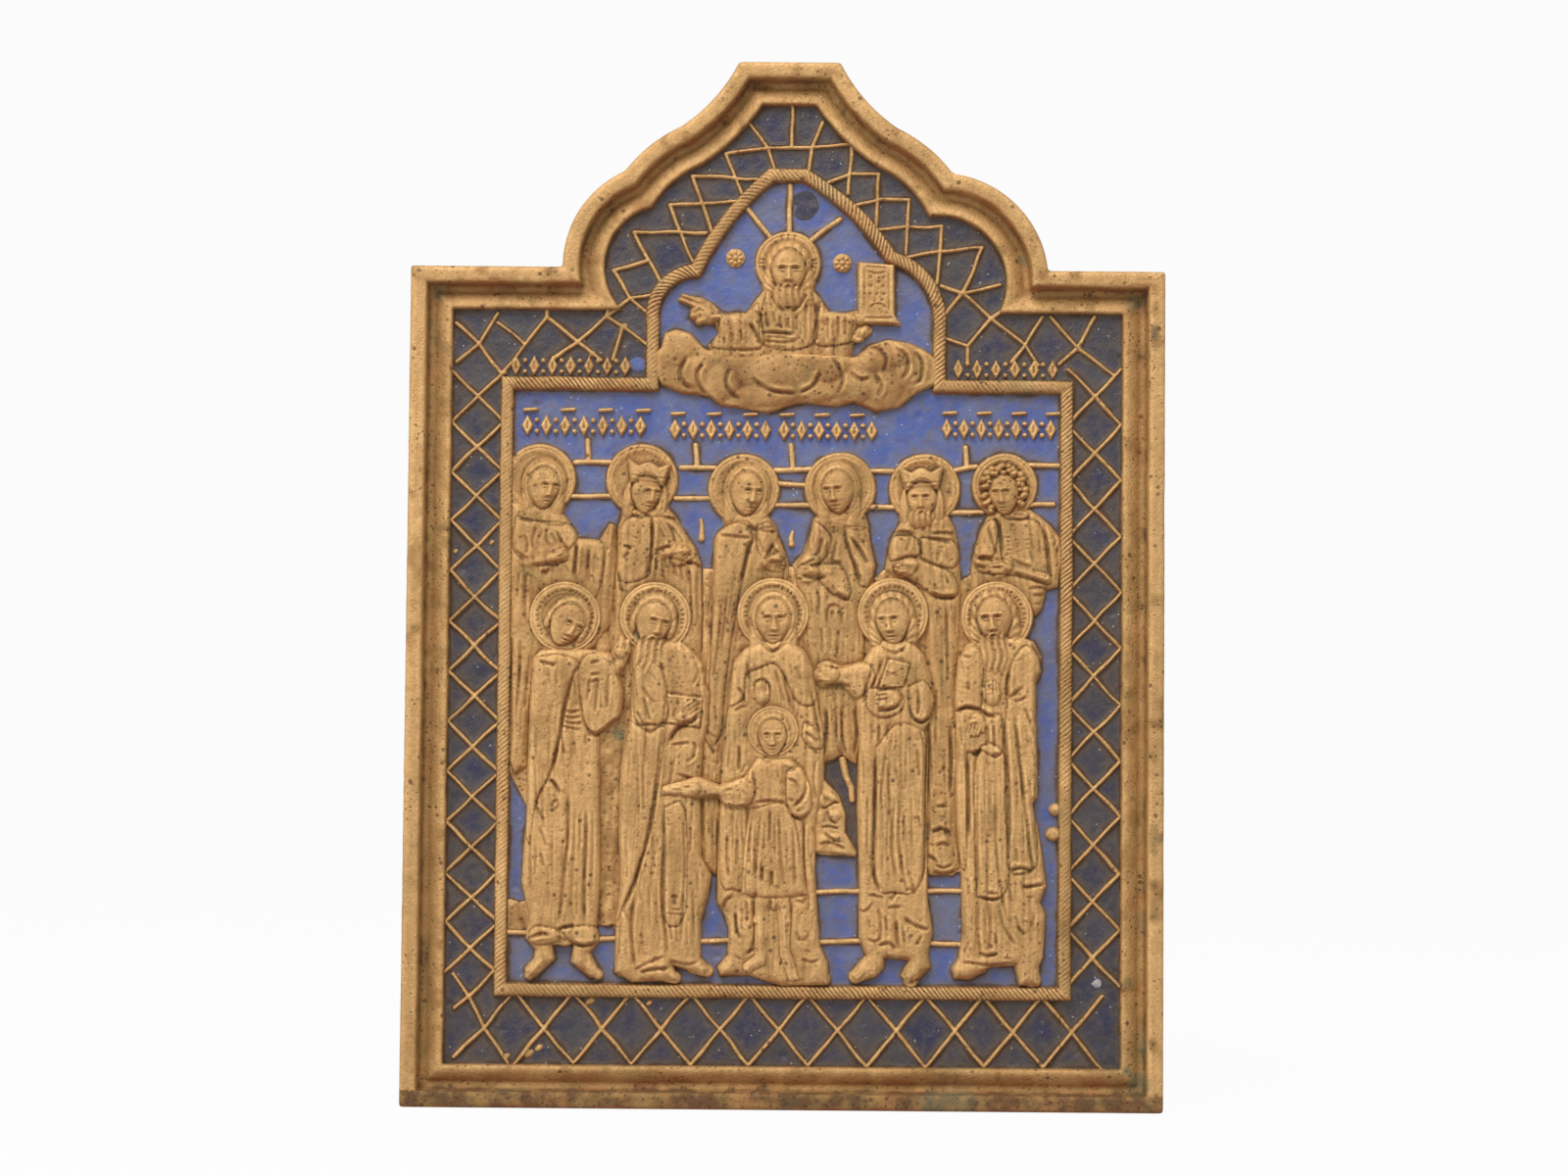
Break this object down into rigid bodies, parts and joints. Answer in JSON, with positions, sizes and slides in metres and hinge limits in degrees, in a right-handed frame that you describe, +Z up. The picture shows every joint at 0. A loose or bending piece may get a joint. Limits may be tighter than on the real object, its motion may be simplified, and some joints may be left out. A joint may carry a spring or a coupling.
{
  "type": "travel icon",
  "caption": "Cast brass travel icon with a keel-shaped head, raised frame, lattice and rope borders, saints in low relief and dark and light blue enamel fills.",
  "frame": {"origin": "middle of the foot edge, halfway through the thickness", "axes": "+Z up the icon to its head, +X to the right of someone who faces it, face looking along -Y"},
  "size_m": [0.101, 0.0056, 0.1398],
  "materials": {
    "brass": "cast, aged, worn",
    "enamel_dark": "opaque, worn",
    "enamel_light": "opaque, worn"
  },
  "bodies": {
    "root": {"border_enamel_foot_left": "enamel_dark", "border_enamel_foot_right": "enamel_dark", "border_enamel_head_left": "enamel_dark", "border_enamel_head_right": "enamel_dark", "border_enamel_left_lower": "enamel_dark", "border_enamel_left_upper": "enamel_dark", "border_enamel_right_lower": "enamel_dark", "border_enamel_right_upper": "enamel_dark", "border_enamel_shoulder_left": "enamel_dark", "border_enamel_shoulder_right": "enamel_dark", "casting": "brass", "dark_enamel_drop": "enamel_dark", "sky_enamel_arch_left": "enamel_light", "sky_enamel_arch_right": "enamel_light", "sky_enamel_foot_left": "enamel_light", "sky_enamel_foot_middle_left": "enamel_light", "sky_enamel_foot_middle_right": "enamel_light", "sky_enamel_foot_right": "enamel_light", "sky_enamel_heading": "enamel_light", "sky_enamel_left_strip": "enamel_light", "sky_enamel_right_strip": "enamel_light", "sky_enamel_wall_far_right": "enamel_light", "sky_enamel_wall_left": "enamel_light", "sky_enamel_wall_middle": "enamel_light", "sky_enamel_wall_middle_right": "enamel_light", "sky_enamel_wall_right": "enamel_light"}
  },
  "joints": []
}
